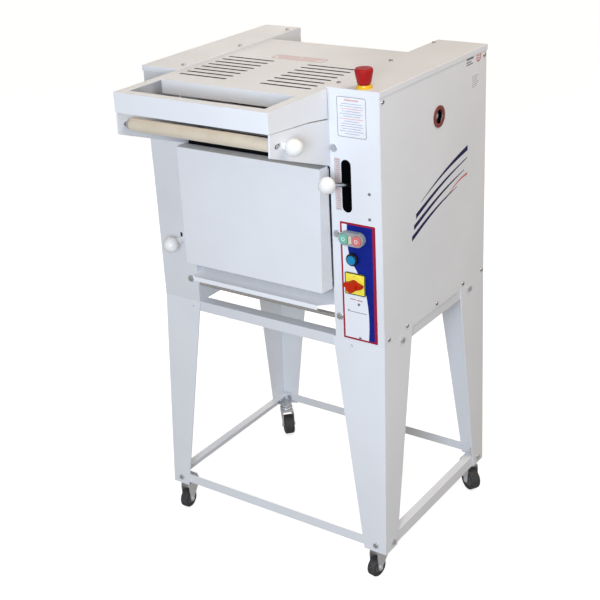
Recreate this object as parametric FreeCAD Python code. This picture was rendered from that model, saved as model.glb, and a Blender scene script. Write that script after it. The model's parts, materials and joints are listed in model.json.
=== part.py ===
import FreeCAD, Part

import math
import os

from FreeCAD import Vector

# Dough sheeter and moulder on a castored stand.
# Millimetres, +X to the machine's right, +Y to the rear, +Z up, floor at z = 0.

# ---------------------------------------------------------------- driving dimensions
HALF_W = 334.0          # outer face of either cabinet
Y_FRONT = -150.0        # front face of the cabinets
Y_REAR = 362.0          # rear face of the cabinets
Z_BASE = 642.0          # underside of the cabinets
Z_SHELL = 1248.0        # top of the cabinet shells
Z_TOP = 1250.0          # top of the covers
X_LEFT = -220.0         # inner face of the left cabinet
X_RIGHT = 198.0         # inner face of the right cabinet
SHEET = 2.0             # cabinet sheet
FRAME_T = 5.0           # side frame plate
LIP = 14.0              # turned-down lip of the covers

TRAY_FRONT = -375.0     # front edge of the infeed tray
TRAY_LOW = 1200.0       # lower edge of the tray's front wall
TRAY_REAR = -154.0      # tray cheeks stop short of the cabinets
RIM = 24.0              # flat rim round the tray
HOOD_FRONT = -237.0     # front wall of the hood
HOOD_REAR = 223.0
HOOD_TOP = 1247.0
HOOD_PIN = (215.0, 1238.0)
LOUVRES = 8
LOUVRE_PITCH = 27.0
LOUVRE_LEN = 138.0
LOUVRE_W = 8.0

LEG_FOOT_X = 345.0      # outer corner of the legs at the foot
LEG_FOOT_FRONT = -183.0
LEG_FOOT_REAR = 352.0
LEG_LOW = 78.0
LEG_T = 3.0
RAIL_LOW = 614.0        # lower edge of the stand's top frame
BAR_LOW = 80.0
BAR_H = 31.0
CROSS_BAR_LOW = 86.0
CROSS_BAR_H = 25.0
BAR_FLANGE = 22.0
BAR_BOLT_Z = 98.0
BAR_T = 3.0

CASTER_X = 312.0        # king pin positions
CASTER_FRONT = -148.0
CASTER_REAR = 317.0
PLATE_LOW = 86.0        # underside of the caster plates, inside the legs
TRAIL = 24.0

DRUM_X = (-211.0, 189.0)          # working width of every roller
INFEED_FRONT = (-348.0, 1168.0)   # roller centres as (y, z)
INFEED_REAR = (-165.0, 1099.0)
INFEED_R = 11.5
LOWER = (-94.0, 1066.0)
UPPER = (-65.0, 1147.0)
SHEETER_R = 40.0
MOULD_TOP = (-85.0, 985.0)
MOULD_LOW = (-105.0, 792.0)
MOULD_R = 25.0
FELT = 3.0
BELT_GAP = 0.3
FIT = 0.05                        # radial running clearance

MOTOR = (120.0, 760.0)
MOTOR_R = 62.0
PULLEY_X = (216.0, 234.0)
MOTOR_PULLEY_R = 34.0
COUNTER = (116.0, 1130.0)
COUNTER_R = 92.0
INSPECT_R = 19.0

LEVER_PIVOT = (-50.0, 1002.5)
LEVER_X = 243.0
LEVER_TILT = 15.4
LEVER_LEN = 186.0
BALL_R = 19.5
SLOT_Z = (963.0, 1088.0)
SLOT_W = 26.0

DOOR_PIN = (-138.0, 1048.0)
DOOR_KNOB = (-262.0, 808.0)       # (x, z) on the left cabinet's face
TENSION_KNOB = (-325.0, 1163.0)   # (y, z) on the right cheek

LABEL = (222.0, 316.0, 645.0, 940.0)
PUSH = (225.0, 291.0, 888.0, 921.0)
JOG = (255.0, 852.0)
ISOLATOR = (260.5, 791.0)
ESTOP = (285.0, -130.0)

ORIGIN_SHIFT = Vector(-7.23, 0.5, 0.0)

nodes = {}


# ---------------------------------------------------------------- helpers
def box(x0, x1, y0, y1, z0, z1):
    return Part.makeBox(x1 - x0, y1 - y0, z1 - z0, Vector(x0, y0, z0))


def cyl_x(x0, x1, y, z, r):
    return Part.makeCylinder(r, x1 - x0, Vector(x0, y, z), Vector(1, 0, 0))


def cyl_y(y0, y1, x, z, r):
    return Part.makeCylinder(r, y1 - y0, Vector(x, y0, z), Vector(0, 1, 0))


def cyl_z(z0, z1, x, y, r):
    return Part.makeCylinder(r, z1 - z0, Vector(x, y, z0), Vector(0, 0, 1))


def prism(points, along):
    wire = Part.makePolygon([Vector(*p) for p in points] + [Vector(*points[0])])
    return Part.Face(wire).extrude(Vector(*along))


def prism_x(yz, x0, x1):
    return prism([(x0, y, z) for y, z in yz], (x1 - x0, 0, 0))


def fuse(shapes):
    first, rest = shapes[0], shapes[1:]
    return first.fuse(rest).removeSplitter() if rest else first


def hull_x(p0, r0, p1, r1, x0, x1):
    """Solid wrapped round two parallel cylinders."""
    dy, dz = p1[0] - p0[0], p1[1] - p0[1]
    theta = math.atan2(dz, dy)
    phi = math.acos((r0 - r1) / math.hypot(dy, dz))
    quad = []
    for (y, z), r, turn in ((p0, r0, phi), (p1, r1, phi), (p1, r1, -phi), (p0, r0, -phi)):
        quad.append((y + r * math.cos(theta + turn), z + r * math.sin(theta + turn)))
    return fuse([cyl_x(x0, x1, *p0, r0), cyl_x(x0, x1, *p1, r1), prism_x(quad, x0, x1)])


def loop_x(p0, r0, p1, r1, x0, x1, thick):
    """Endless belt running round two parallel cylinders."""
    outer = hull_x(p0, r0 + thick, p1, r1 + thick, x0, x1)
    return outer.cut(hull_x(p0, r0, p1, r1, x0 - 1, x1 + 1))


def hexagon_head(at, axis, across, high):
    """Hexagon bolt head standing on a face at the given point."""
    axis = Vector(*axis)
    side = Vector(0, 0, 1) if abs(axis.z) < 0.5 else Vector(1, 0, 0)
    other = axis.cross(side)
    r = across / math.sqrt(3)
    ring = []
    for k in range(7):
        a = math.radians(60 * k)
        ring.append(Vector(*at) + side * (r * math.cos(a)) + other * (r * math.sin(a)))
    return Part.Face(Part.makePolygon(ring)).extrude(axis * high)


def dome_head(at, axis, r, high):
    """Pan head screw standing on a face at the given point, with a cross recess."""
    axis = Vector(*axis)
    head = Part.makeCone(r, r * 0.72, high, Vector(*at), axis)
    side = Vector(0, 0, 1) if abs(axis.z) < 0.5 else Vector(1, 0, 0)
    other = axis.cross(side)
    top = Vector(*at) + axis * high
    for a, b in ((side, other), (other, side)):
        corner = top - a * (r * 0.5) - b * 0.5 - axis * 0.7
        wire = Part.makePolygon(
            [corner, corner + a * r, corner + a * r + b, corner + b, corner]
        )
        head = head.cut(Part.Face(wire).extrude(axis * 2))
    return head


# ---------------------------------------------------------------- cabinets
def left_shell():
    outer = box(-HALF_W, X_LEFT - FRAME_T, Y_FRONT, Y_REAR, Z_BASE, Z_SHELL)
    inner = box(
        -HALF_W + SHEET, X_LEFT, Y_FRONT + SHEET, Y_REAR - SHEET, Z_BASE + SHEET, Z_SHELL + 1
    )
    shell = outer.cut(inner)
    x, z = DOOR_KNOB
    slot = box(x - 3.6, x + 3.6, Y_FRONT - 1, Y_FRONT + SHEET + 1, z - 8, z + 19)
    return shell.cut(cyl_y(Y_FRONT - 1, Y_FRONT + SHEET + 1, x, z, 5 + FIT)).cut(slot)


def right_shell():
    outer = box(X_RIGHT + FRAME_T, HALF_W - SHEET, Y_FRONT, Y_REAR, Z_BASE, Z_SHELL)
    inner = box(
        X_RIGHT, HALF_W, Y_FRONT + SHEET, Y_REAR - SHEET, Z_BASE + SHEET, Z_SHELL + 1
    )
    flanges = [
        box(HALF_W - 18, HALF_W - SHEET, Y_FRONT + SHEET, Y_FRONT + SHEET + 1.5, 660, 1230),
        box(HALF_W - 3.5, HALF_W - SHEET, Y_FRONT + SHEET, Y_FRONT + 20, 660, 1230),
        box(HALF_W - 3.5, HALF_W - SHEET, Y_REAR - 20, Y_REAR - SHEET, 660, 1230),
        box(HALF_W - 3.5, HALF_W - SHEET, -100, 310, Z_BASE + SHEET, Z_BASE + 20),
    ]
    shell = fuse([outer.cut(inner)] + flanges)
    x0, x1 = LEVER_X - SLOT_W / 2, LEVER_X + SLOT_W / 2
    z0, z1 = SLOT_Z[0] + SLOT_W / 2, SLOT_Z[1] - SLOT_W / 2
    y0, y1 = Y_FRONT - 1, Y_FRONT + SHEET + 3
    slot = fuse([
        box(x0, x1, y0, y1, z0, z1),
        cyl_y(y0, y1, LEVER_X, z0, SLOT_W / 2),
        cyl_y(y0, y1, LEVER_X, z1, SLOT_W / 2),
    ])
    gland = cyl_y(Y_REAR - SHEET - 1, Y_REAR + 1, 262, 700, 8)
    return shell.cut(slot).cut(gland)


def cover(side):
    """Cap over one cabinet; side is -1 for the left and +1 for the right."""
    inner_x = X_LEFT if side < 0 else X_RIGHT
    x0, x1 = sorted((side * (HALF_W + SHEET), inner_x))
    cap = box(x0, x1, Y_FRONT - SHEET, Y_REAR + SHEET, Z_TOP - LIP, Z_TOP)
    hx0, hx1 = sorted((side * HALF_W, inner_x - side * 10))
    cap = cap.cut(box(hx0, hx1, Y_FRONT, Y_REAR, Z_TOP - LIP - 1, Z_SHELL))
    edge = [e for e in cap.Edges if all(abs(v.Z - Z_TOP) < 1e-6 for v in e.Vertexes)]
    edge = [e for e in edge if not all(abs(v.X - inner_x) < 1e-6 for v in e.Vertexes)]
    return cap.makeFillet(1.6, edge)


def side_frame(side):
    """Bearing plate of one cabinet with its forward conveyor cheek."""
    inner_x = X_LEFT if side < 0 else X_RIGHT
    x0, x1 = sorted((inner_x, inner_x + side * FRAME_T))
    plate = prism_x(
        [(Y_FRONT, Z_BASE), (Y_REAR, Z_BASE), (Y_REAR, Z_SHELL), (Y_FRONT, Z_SHELL),
         (Y_FRONT, 1175.5), (-228, 1186.8), (TRAY_FRONT + 3, 1198.5), (TRAY_FRONT, 1149),
         (Y_FRONT, 1068)],
        x0, x1,
    )
    a, b = x0 - 1, x1 + 1
    cuts = [
        cyl_x(*sorted((inner_x - side, inner_x + side * (FRAME_T - 1))), *INFEED_REAR, 8 + FIT),
        cyl_x(a, b, *LOWER, 10 + FIT),
        cyl_x(a, b, *MOULD_TOP, 8 + FIT),
        cyl_x(a, b, *MOULD_LOW, 8 + FIT),
        cyl_x(a, b, *DOOR_PIN, 4 + FIT),
        cyl_x(a, b, *HOOD_PIN, 4 + FIT),
        block_window(a, b),
    ]
    y, z = INFEED_FRONT
    cuts += [
        box(a, b, y - 4, y + 9, z - 5 - FIT, z + 5 + FIT),
        cyl_x(a, b, y - 4, z, 5 + FIT),
        cyl_x(a, b, y + 9, z, 5 + FIT),
    ]
    if side > 0:
        cuts += [
            cyl_x(a, b, *TENSION_KNOB, 4 + FIT),
            cyl_x(a, b, *LEVER_PIVOT, 9 + FIT),
            cyl_x(a, b, *COUNTER, 9 + FIT),
            cyl_x(a, b, *MOTOR, 14),
        ]
    for cutter in cuts:
        plate = plate.cut(cutter)
    return plate


LIFT = Vector(0, UPPER[0] - LOWER[0], UPPER[1] - LOWER[1]).normalize()
LIFT_ANGLE = math.degrees(math.atan2(LIFT.z, LIFT.y)) - 90


def tilt_about_upper(shape):
    shape.rotate(Vector(0, *UPPER), Vector(1, 0, 0), LIFT_ANGLE)
    return shape


def block_window(x0, x1):
    """Guide window of the upper roller's bearing block, long enough for its lift."""
    y, z = UPPER
    return tilt_about_upper(box(x0, x1, y - 18 - FIT, y + 18 + FIT, z - 24.5, z + 27.5))


def side_panel():
    panel = box(HALF_W - SHEET, HALF_W, Y_FRONT, Y_REAR, Z_BASE, Z_SHELL)
    return panel.cut(cyl_x(HALF_W - 5, HALF_W + 1, *COUNTER, INSPECT_R))


def ring():
    y, z = COUNTER
    body = cyl_x(HALF_W, HALF_W + 2.5, y, z, INSPECT_R + 7)
    body = body.cut(cyl_x(HALF_W - 1, HALF_W + 4, y, z, INSPECT_R - 2))
    return body


nodes["left_cabinet"] = left_shell()
nodes["left_cover"] = cover(-1)
nodes["left_side_frame"] = side_frame(-1)
nodes["right_cabinet"] = right_shell()
nodes["right_cover"] = cover(1)
nodes["right_side_frame"] = side_frame(1)
nodes["right_side_panel"] = side_panel()
nodes["side_ring"] = ring()
nodes["back_panel"] = box(X_LEFT, X_RIGHT, HOOD_REAR + 1, HOOD_REAR + 3, Z_BASE, 1222)


# ---------------------------------------------------------------- stand
def leg(sx, rear):
    """Folded leg, fold at the outer corner; both flanges taper towards the foot."""
    y_top = Y_REAR if rear else Y_FRONT
    y_foot = LEG_FOOT_REAR if rear else LEG_FOOT_FRONT
    inward = -1 if rear else 1
    top = (sx * HALF_W, y_top)
    foot = (sx * LEG_FOOT_X, y_foot)
    wide_top = 114.0 if sx < 0 else 144.0
    wide_foot = 52.0 if sx < 0 else 64.0
    deep_top, deep_foot = 132.0, 56.0
    face = prism(
        [(top[0], top[1], Z_BASE), (top[0] - sx * wide_top, top[1], Z_BASE),
         (foot[0] - sx * wide_foot, foot[1], LEG_LOW), (foot[0], foot[1], LEG_LOW)],
        (0, inward * LEG_T, 0),
    )
    flank = prism(
        [(top[0], top[1], Z_BASE), (top[0], top[1] + inward * deep_top, Z_BASE),
         (foot[0], foot[1] + inward * deep_foot, LEG_LOW), (foot[0], foot[1], LEG_LOW)],
        (-sx * LEG_T, 0, 0),
    )
    folded = fuse([face, flank])
    if not rear:
        folded = folded.cut(cyl_y(y_foot, y_top + 10, sx * 243.0, 627, 3.5))
    return folded


def leg_face_offset(z, rear):
    """Y of the leg's outer face at height z."""
    y_top = Y_REAR if rear else Y_FRONT
    y_foot = LEG_FOOT_REAR if rear else LEG_FOOT_FRONT
    return y_top + (y_foot - y_top) * (Z_BASE - z) / (Z_BASE - LEG_LOW)


def leg_flank_offset(z):
    """Absolute X of the leg's outer flank at height z."""
    return HALF_W + (LEG_FOOT_X - HALF_W) * (Z_BASE - z) / (Z_BASE - LEG_LOW)


def top_frame():
    x, y0, y1 = HALF_W - LEG_T, Y_FRONT + LEG_T, Y_REAR - LEG_T
    outer = box(-x, x, y0, y1, RAIL_LOW, Z_BASE)
    walls = outer.cut(box(-x + 3, x - 3, y0 + 3, y1 - 3, RAIL_LOW - 1, Z_BASE + 1))
    flange = box(-x, x, y0, y1, Z_BASE - 3, Z_BASE)
    flange = flange.cut(box(-x + 30, x - 30, y0 + 30, y1 - 30, RAIL_LOW, Z_BASE + 1))
    return fuse([walls, flange])


def cross_bar(rear):
    """Flat bar lying against the inside of a pair of leg faces."""
    inward = -1 if rear else 1
    z0, z1 = CROSS_BAR_LOW, CROSS_BAR_LOW + CROSS_BAR_H
    y0 = leg_face_offset(z0, rear) + inward * LEG_T
    y1 = leg_face_offset(z1, rear) + inward * LEG_T
    x = leg_flank_offset(z1) - LEG_T - 6
    return prism_x(
        [(y0, z0), (y1, z1), (y1 + inward * BAR_T, z1), (y0 + inward * BAR_T, z0)], -x, x
    )


def side_bar(sx):
    """Angle bar lying against the inside of a pair of leg flanks, its flange inwards."""
    z0, z1 = BAR_LOW, BAR_LOW + BAR_H
    x0 = leg_flank_offset(z0) - LEG_T
    x1 = leg_flank_offset(z1) - LEG_T
    y0 = leg_face_offset(z1, False) + LEG_T + BAR_T + 6
    y1 = leg_face_offset(z1, True) - LEG_T - BAR_T - 6
    return prism(
        [(sx * x0, y0, z0), (sx * x1, y0, z1),
         (sx * (x1 - BAR_FLANGE), y0, z1), (sx * (x1 - BAR_FLANGE), y0, z1 - BAR_T),
         (sx * (x1 - BAR_T), y0, z1 - BAR_T), (sx * (x0 - BAR_T), y0, z0)],
        (0, y1 - y0, 0),
    )


nodes["leg_front_left"] = leg(-1, False)
nodes["leg_front_right"] = leg(1, False)
nodes["leg_rear_left"] = leg(-1, True)
nodes["leg_rear_right"] = leg(1, True)
legs = [shape for name, shape in nodes.items() if name.startswith("leg_")]
nodes["stand_top_frame"] = top_frame().cut(legs)
nodes["cross_bars"] = Part.makeCompound([cross_bar(False), cross_bar(True)])
nodes["side_bars"] = Part.makeCompound([side_bar(-1), side_bar(1)])

# ---------------------------------------------------------------- casters
# name, side, rear, swivel of the trail direction from straight ahead (-Y) in degrees,
# wheel radius and width
CASTERS = [
    ("front_left", -1, False, 5.0, 26.0, 22.0),
    ("front_right", 1, False, -8.0, 26.0, 22.0),
    ("rear_left", -1, True, 47.0, 30.0, 28.0),
    ("rear_right", 1, True, 60.0, 30.0, 28.0),
]


def caster_plate(x, y, sx, rear):
    """Top plate welded into the corner of a leg, with the king pin below it."""
    x0, x1 = sorted((sx * LEG_FOOT_X, x - sx * 12))
    y0, y1 = sorted((LEG_FOOT_REAR if rear else LEG_FOOT_FRONT, y + (-12 if rear else 12)))
    flat = box(x0, x1, y0, y1, PLATE_LOW, PLATE_LOW + 3)
    for side, depth in (("left", "front"), ("left", "rear"), ("right", "front"), ("right", "rear")):
        flat = flat.cut(nodes["leg_" + depth + "_" + side])
    flat = flat.cut([nodes["cross_bars"], nodes["side_bars"]])
    flat = max(flat.Solids, key=lambda piece: piece.Volume)
    return fuse([
        flat,
        cyl_z(PLATE_LOW - 4, PLATE_LOW, x, y, 14),
        cyl_z(68, PLATE_LOW, x, y, 5),
        cyl_z(67, 71.5, x, y, 8),
    ])


def fork(x, y, swivel, wheel_r, wheel_w):
    """Swivel fork with its axle, trailing towards -Y before it is turned."""
    half = wheel_w / 2 + 1.5
    deck = fuse([
        cyl_z(72, 75, x, y, 19),
        cyl_z(75, PLATE_LOW - 4.5, x, y, 16),
        box(x - half - 2, x + half + 2, y - TRAIL - 4, y + 10, 72, 75),
    ])
    deck = deck.cut(cyl_z(70, PLATE_LOW, x, y, 5 + FIT))
    parts = [deck]
    for x0 in (x - half - 2, x + half):
        cheek = prism_x(
            [(y - TRAIL - 8, wheel_r), (y - TRAIL + 8, wheel_r), (y + 12, 60), (y + 12, 75),
             (y - TRAIL - 8, 75), (y - TRAIL - 10, 64)],
            x0, x0 + 2,
        )
        parts += [cheek, cyl_x(x0, x0 + 2, y - TRAIL, wheel_r, 8)]
    parts.append(cyl_x(x - half - 5, x + half + 5, y - TRAIL, wheel_r, 4))
    parts.append(hexagon_head((x + half + 2, y - TRAIL, wheel_r), (1, 0, 0), 12, 2.5))
    parts.append(hexagon_head((x - half - 2, y - TRAIL, wheel_r), (-1, 0, 0), 12, 2.5))
    whole = fuse(parts)
    whole.rotate(Vector(x, y, 0), Vector(0, 0, 1), swivel)
    return whole


def wheel(x, y, swivel, r, width):
    w = width / 2
    yc = y - TRAIL
    tyre = cyl_x(x - w, x + w, yc, r, r)
    rims = [e for e in tyre.Edges if e.Length > 100 and len(e.Vertexes) == 1]
    tyre = tyre.makeFillet(4.5, rims)
    for x0, x1 in ((x - w - 1, x - w + 3), (x + w - 3, x + w + 1)):
        dish = cyl_x(x0, x1, yc, r, r - 10).cut(cyl_x(x0, x1, yc, r, 9))
        tyre = tyre.cut(dish)
    tyre = tyre.cut(cyl_x(x - w - 2, x + w + 2, yc, r, 4 + FIT))
    tyre.rotate(Vector(x, y, 0), Vector(0, 0, 1), swivel)
    return tyre


plates = []
for name, sx, rear, swivel, r, width in CASTERS:
    cx, cy = sx * CASTER_X, CASTER_REAR if rear else CASTER_FRONT
    plates.append(caster_plate(cx, cy, sx, rear))
    nodes["fork_" + name] = fork(cx, cy, swivel, r, width)
    nodes["wheel_" + name] = wheel(cx, cy, swivel, r, width)
nodes["caster_plates"] = Part.makeCompound(plates)


# ---------------------------------------------------------------- hood and infeed tray
def hood():
    left, right = X_LEFT - FRAME_T, X_RIGHT + FRAME_T
    t = 2.0
    under = HOOD_TOP - t
    deck = box(X_LEFT + 1, X_RIGHT - 1, TRAY_REAR, HOOD_REAR, under, HOOD_TOP)
    apron = box(left, right, TRAY_FRONT, TRAY_REAR, under, HOOD_TOP)
    apron = apron.cut(
        box(left + RIM, right - RIM, TRAY_FRONT + RIM, HOOD_FRONT, under - 1, HOOD_TOP + 1)
    )
    cheek = [(TRAY_FRONT, HOOD_TOP), (TRAY_REAR, HOOD_TOP), (TRAY_REAR, 1179),
             (-228, 1189), (TRAY_FRONT, TRAY_LOW)]
    parts = [
        deck,
        apron,
        box(left, right, TRAY_FRONT, TRAY_FRONT + t, TRAY_LOW, HOOD_TOP),
        prism_x(cheek, left, left + t),
        prism_x(cheek, right - t, right),
        box(left + RIM, right - RIM, HOOD_FRONT, HOOD_FRONT + t, 1214, HOOD_TOP),
        box(X_LEFT + 1, X_LEFT + 1 + t, TRAY_REAR, HOOD_REAR, 1230, HOOD_TOP),
        box(X_RIGHT - 1 - t, X_RIGHT - 1, TRAY_REAR, HOOD_REAR, 1230, HOOD_TOP),
        box(X_LEFT + 1, X_RIGHT - 1, HOOD_REAR - t, HOOD_REAR, 1230, HOOD_TOP),
        cyl_x(X_LEFT - 4, X_LEFT + 2, *HOOD_PIN, 4),
        cyl_x(X_RIGHT - 2, X_RIGHT + 4, *HOOD_PIN, 4),
    ]
    body = fuse(parts)
    for x0 in (-197.0, 37.0):
        for k in range(LOUVRES):
            y = -174.0 + LOUVRE_PITCH * k
            r = LOUVRE_W / 2
            slot = fuse([
                box(x0 + r, x0 + LOUVRE_LEN - r, y - r, y + r, under - 1, HOOD_TOP + 1),
                cyl_z(under - 1, HOOD_TOP + 1, x0 + r, y, r),
                cyl_z(under - 1, HOOD_TOP + 1, x0 + LOUVRE_LEN - r, y, r),
            ])
            body = body.cut(slot)
    return body


nodes["hood"] = hood()


# ---------------------------------------------------------------- rollers and belts
def roller(at, r, shaft_r, reach=FRAME_T, end_r=None):
    """Drum with shaft ends that reach into both side frames."""
    end_r = shaft_r if end_r is None else end_r
    drum = cyl_x(*DRUM_X, *at, r)
    journals = cyl_x(X_LEFT + 1, X_RIGHT - 1, *at, max(shaft_r, end_r))
    ends = cyl_x(X_LEFT - reach, X_RIGHT + reach, *at, end_r)
    return fuse([drum, journals, ends])


def bearing_blocks():
    """Sliding blocks that carry the upper roller, one in each side frame."""
    y, z = UPPER
    blocks = []
    for side, inner_x in ((-1, X_LEFT), (1, X_RIGHT)):
        x0, x1 = sorted((inner_x, inner_x + side * (FRAME_T + 0.3)))
        fx0, fx1 = sorted((inner_x + side * (FRAME_T + 0.3), inner_x + side * (FRAME_T + 10)))
        body = fuse([
            box(x0, x1, y - 18, y + 18, z - 18.5, z + 18.5),
            box(fx0, fx1, y - 24, y + 24, z - 18.5, z + 18.5),
        ])
        bore = cyl_x(x0 - 12, x1 + 12, y, z, 10 + FIT)
        blocks.append(tilt_about_upper(body).cut(bore))
    return Part.makeCompound(blocks)


nodes["infeed_front_roller"] = roller(INFEED_FRONT, INFEED_R, 5, FRAME_T + 1)
nodes["infeed_rear_roller"] = roller(INFEED_REAR, INFEED_R, 8, FRAME_T - 1.5)
nodes["lower_roller"] = roller(LOWER, SHEETER_R, 10, FRAME_T + 8)
nodes["upper_roller"] = roller(UPPER, SHEETER_R, 10, FRAME_T + 9)
nodes["roller_blocks"] = bearing_blocks()
nodes["moulding_roller_top"] = roller(MOULD_TOP, MOULD_R, 8)
nodes["moulding_roller_bottom"] = roller(MOULD_LOW, MOULD_R, 8)
felt_r = INFEED_R + BELT_GAP
nodes["infeed_belt"] = loop_x(
    INFEED_FRONT, felt_r, INFEED_REAR, felt_r, DRUM_X[0] + 8, DRUM_X[1] - 1, FELT
)
felt_r = MOULD_R + BELT_GAP
nodes["moulding_belt"] = loop_x(
    MOULD_LOW, felt_r, MOULD_TOP, felt_r, DRUM_X[0] + 1, DRUM_X[1] - 1, FELT
)
nodes["scraper"] = prism_x(
    [(-51.5, 1060), (-20, 1036), (-20, 1033), (-51.5, 1056)], X_LEFT, X_RIGHT
)

# ---------------------------------------------------------------- drive
def vee_pulley(at, r):
    """Pulley with a single groove, hub to the right side."""
    x0, x1 = PULLEY_X
    rim = cyl_x(x0, x1, *at, r)
    groove = cyl_x(x0 + 3, x1 - 3, *at, r + 1).cut(cyl_x(x0 + 3, x1 - 3, *at, r - 8))
    return rim.cut(groove)


def motor_unit():
    y, z = MOTOR
    shelf = box(X_LEFT, X_RIGHT, y - 70, y + 70, z - MOTOR_R - 14, z - MOTOR_R - 10)
    feet = box(-60, 100, y - 45, y + 45, z - MOTOR_R - 10, z - MOTOR_R + 16)
    body = cyl_x(-80, 130, y, z, MOTOR_R)
    nose = cyl_x(130, 150, y, z, 40)
    bore = cyl_x(120, 151, y, z, 10 + FIT)
    return fuse([shelf, feet, body, nose]).cut(bore)


y, z = MOTOR
pulley = vee_pulley(MOTOR, MOTOR_PULLEY_R)
nodes["motor_pulley"] = fuse([pulley, cyl_x(121, PULLEY_X[1] + 6, y, z, 10)])
y, z = COUNTER
pulley = vee_pulley(COUNTER, COUNTER_R)
for k in range(5):
    a = math.radians(72 * k)
    cy, cz = y + 56 * math.cos(a), z + 56 * math.sin(a)
    pulley = pulley.cut(cyl_x(PULLEY_X[0] - 1, PULLEY_X[1] + 1, cy, cz, 18))
nodes["driven_pulley"] = fuse([
    pulley,
    cyl_x(X_RIGHT - 4, 326, y, z, 9),
    cyl_x(X_RIGHT + FRAME_T + 0.5, PULLEY_X[1] + 14, y, z, 20),
    hexagon_head((320, y, z), (1, 0, 0), 26, 5),
])
nodes["motor"] = motor_unit()
nodes["drive_belt"] = loop_x(
    MOTOR, MOTOR_PULLEY_R - 8 + BELT_GAP, COUNTER, COUNTER_R - 8 + BELT_GAP,
    PULLEY_X[0] + 3.4, PULLEY_X[1] - 3.4, 7.0,
)


# ---------------------------------------------------------------- door, plate, rod
def frustum(rear_y, rear_x, rear_z, front_x, front_y, front_z):
    """Tapered block between a rear rectangle and a leaning front face."""
    (rx0, rx1), (rz0, rz1) = rear_x, rear_z
    (tx0, tx1), (bx0, bx1) = front_x
    (ty, by), (tz, bz) = front_y, front_z
    rear = [(rx0, rear_y, rz0), (rx1, rear_y, rz0), (rx1, rear_y, rz1), (rx0, rear_y, rz1)]
    front = [(bx0, by, bz), (bx1, by, bz), (tx1, ty, tz), (tx0, ty, tz)]
    faces = [rear, front]
    for k in range(4):
        n = (k + 1) % 4
        faces.append([rear[k], rear[n], front[n]])
        faces.append([rear[k], front[n], front[k]])
    shells = []
    for points in faces:
        wire = Part.makePolygon([Vector(*p) for p in points] + [Vector(*points[0])])
        shells.append(Part.Face(wire))
    solid = Part.Solid(Part.Shell(shells))
    if solid.Volume < 0:
        solid.reverse()
    return solid


def front_door():
    """Pressed door pan: flat leaning face, returns on all four sides, hinge tabs on top."""
    outer = frustum(
        -154.0, (-219.0, 197.0), (767.0, 1069.0),
        ((-219.0, 196.0), (-215.0, 193.0)), (-186.0, -192.0), (1069.0, 768.0),
    )
    inner = frustum(
        -153.0, (-217.0, 195.0), (769.0, 1067.0),
        ((-217.0, 194.0), (-213.0, 191.0)), (-184.0, -190.0), (1067.0, 770.0),
    )
    pan = outer.cut(inner)
    tabs = []
    for x0, p0, p1 in ((X_LEFT + 1.5, X_LEFT - 4, X_LEFT + 3.5), (X_RIGHT - 4.5, X_RIGHT - 3.5, X_RIGHT + 4)):
        y, z = DOOR_PIN
        tabs.append(box(x0, x0 + 3, -156, y + 8, z - 10, z + 13))
        tabs.append(cyl_x(p0, p1, y, z, 4))
    return fuse([pan] + tabs)


def knob_y(x, z, y_face, stand_off):
    """Ball knob on a collar and threaded stud, pointing to -Y."""
    ball = Part.makeSphere(BALL_R, Vector(x, y_face - stand_off - BALL_R + 2, z))
    flat = box(x - 30, x + 30, y_face - stand_off - 3 * BALL_R, y_face - stand_off, z - 30, z + 30)
    collar = cyl_y(y_face - stand_off - 4, y_face - 0.4, x, z, 9)
    stud = cyl_y(y_face - stand_off, y_face + 26, x, z, 5)
    return fuse([ball.common(flat), collar, stud])


def knob_x(y, z, x_face, stand_off):
    """Ball knob on a collar and threaded stud, pointing to +X."""
    ball = Part.makeSphere(BALL_R, Vector(x_face + stand_off + BALL_R - 2, y, z))
    collar = cyl_x(x_face + 0.4, x_face + stand_off + 4, y, z, 8)
    stud = cyl_x(x_face - FRAME_T - 3, x_face + stand_off, y, z, 4)
    return fuse([ball, collar, stud])


def discharge_plate():
    slope = [(-40, 762), (-149, 724), (-149, 722), (-40, 760)]
    inside = prism_x(slope, X_LEFT, X_RIGHT)
    front = prism(
        [(X_LEFT + 6, -174, 0), (X_RIGHT - 34, -174, 0), (X_RIGHT - 6, -149, 0), (X_LEFT + 6, -149, 0)],
        (0, 0, 2),
    )
    front.translate(Vector(0, 0, 722))
    lip = box(X_LEFT + 6, X_RIGHT - 34, -174, -172, 712, 724)
    return fuse([inside, front, lip])


nodes["front_door"] = front_door()
nodes["door_knob"] = knob_y(*DOOR_KNOB, Y_FRONT, 26.0)
nodes["tension_knob"] = knob_x(*TENSION_KNOB, X_RIGHT + FRAME_T, 9.0)
nodes["discharge_plate"] = discharge_plate()
nodes["tie_rod"] = cyl_x(X_LEFT, X_RIGHT, -141, 692, 6)


# ---------------------------------------------------------------- gap lever
def gap_lever():
    y, z = LEVER_PIVOT
    shaft = cyl_x(X_RIGHT - 6, LEVER_X + 24, y, z, 9)
    hub = cyl_x(X_RIGHT + FRAME_T + 0.5, LEVER_X + 14, y, z, 17)
    rod = Part.makeCylinder(5, LEVER_LEN - 12, Vector(LEVER_X, y, z), Vector(0, -1, 0))
    rod.rotate(Vector(LEVER_X, y, z), Vector(1, 0, 0), -LEVER_TILT)
    return fuse([shaft, hub, rod])


def lever_knob():
    y, z = LEVER_PIVOT
    ball = Part.makeSphere(BALL_R, Vector(LEVER_X, y - LEVER_LEN, z))
    ball = ball.fuse(cyl_y(y - LEVER_LEN, y - LEVER_LEN + 24, LEVER_X, z, 8))
    bore = cyl_y(y - LEVER_LEN + 12, y - LEVER_LEN + 40, LEVER_X, z, 5)
    ball = ball.cut(bore)
    ball.rotate(Vector(LEVER_X, y, z), Vector(1, 0, 0), -LEVER_TILT)
    return ball


nodes["gap_lever"] = gap_lever()
nodes["lever_knob"] = lever_knob()


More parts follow.
